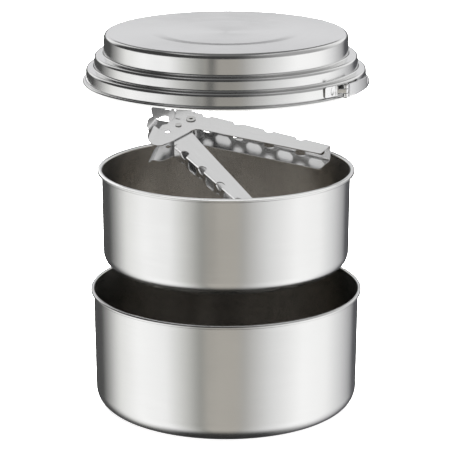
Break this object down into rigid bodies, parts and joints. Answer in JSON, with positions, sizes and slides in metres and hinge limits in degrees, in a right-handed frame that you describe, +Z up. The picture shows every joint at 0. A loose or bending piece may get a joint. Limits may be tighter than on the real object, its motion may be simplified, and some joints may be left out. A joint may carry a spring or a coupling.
{
  "type": "cooking pot set",
  "caption": "Two nesting stainless steel cooking pots, a stepped lid that fits both and has two small grips folded against its rim, and a hinged pot lifter, shown taken apart in a column.",
  "frame": {"origin": "centre of the large pot's flat base, on the surface the set stands on", "axes": "+Z up along the pots' common axis; +X to the right and +Y to the back as the set is displayed"},
  "size_m": [0.1906, 0.1906, 0.2572],
  "materials": {
    "pot_steel": "satin stainless steel, brushed round the vessel",
    "lid_steel": "satin stainless steel, spun brushing round the lid",
    "grip_steel": "bright stainless strip",
    "lifter_steel": "bright pressed stainless sheet, mirror-like inside",
    "rivet_steel": "plain stainless rivets"
  },
  "bodies": {
    "large_pot": {"large_pot": "pot_steel"},
    "small_pot": {"small_pot": "pot_steel"},
    "lid": {"lid": "lid_steel", "lid_grip_bracket_right": "grip_steel", "lid_grip_pin_right": "rivet_steel", "lid_grip_bracket_left": "grip_steel", "lid_grip_pin_left": "rivet_steel"},
    "lid_grip_right": {"lid_grip_right": "grip_steel"},
    "lid_grip_left": {"lid_grip_left": "grip_steel"},
    "lifter_outer": {"lifter_outer_arm": "lifter_steel", "lifter_pivot_rivet": "rivet_steel", "lifter_stop_rivet": "rivet_steel"},
    "lifter_inner": {"lifter_inner_arm": "lifter_steel"}
  },
  "joints": [
    {"name": "small_pot_lift", "type": "slide", "parent": "large_pot", "child": "small_pot", "axis": [0, 0, 1], "range_m": [-0.0976, 0]},
    {"name": "lid_lift", "type": "slide", "parent": "small_pot", "child": "lid", "axis": [0, 0, 1], "range_m": [-0.0528, 0]},
    {"name": "lifter_lift", "type": "slide", "parent": "small_pot", "child": "lifter_outer", "axis": [0, 0, 1], "range_m": [-0.046, 0]},
    {"name": "lifter_squeeze", "type": "hinge", "parent": "lifter_outer", "child": "lifter_inner", "pos_m": [-0.024, 0.0383, 0.1888], "axis": [-0.0191, -0.275, 0.9612], "range_deg": [-8, 20]},
    {"name": "lid_grip_right_fold", "type": "hinge", "parent": "lid", "child": "lid_grip_right", "pos_m": [0.07623, -0.06063, 0.23], "axis": [0, 0, -1], "range_deg": [0, 110]},
    {"name": "lid_grip_left_fold", "type": "hinge", "parent": "lid", "child": "lid_grip_left", "pos_m": [-0.06705, 0.07065, 0.23], "axis": [0, 0, -1], "range_deg": [0, 110]}
  ]
}
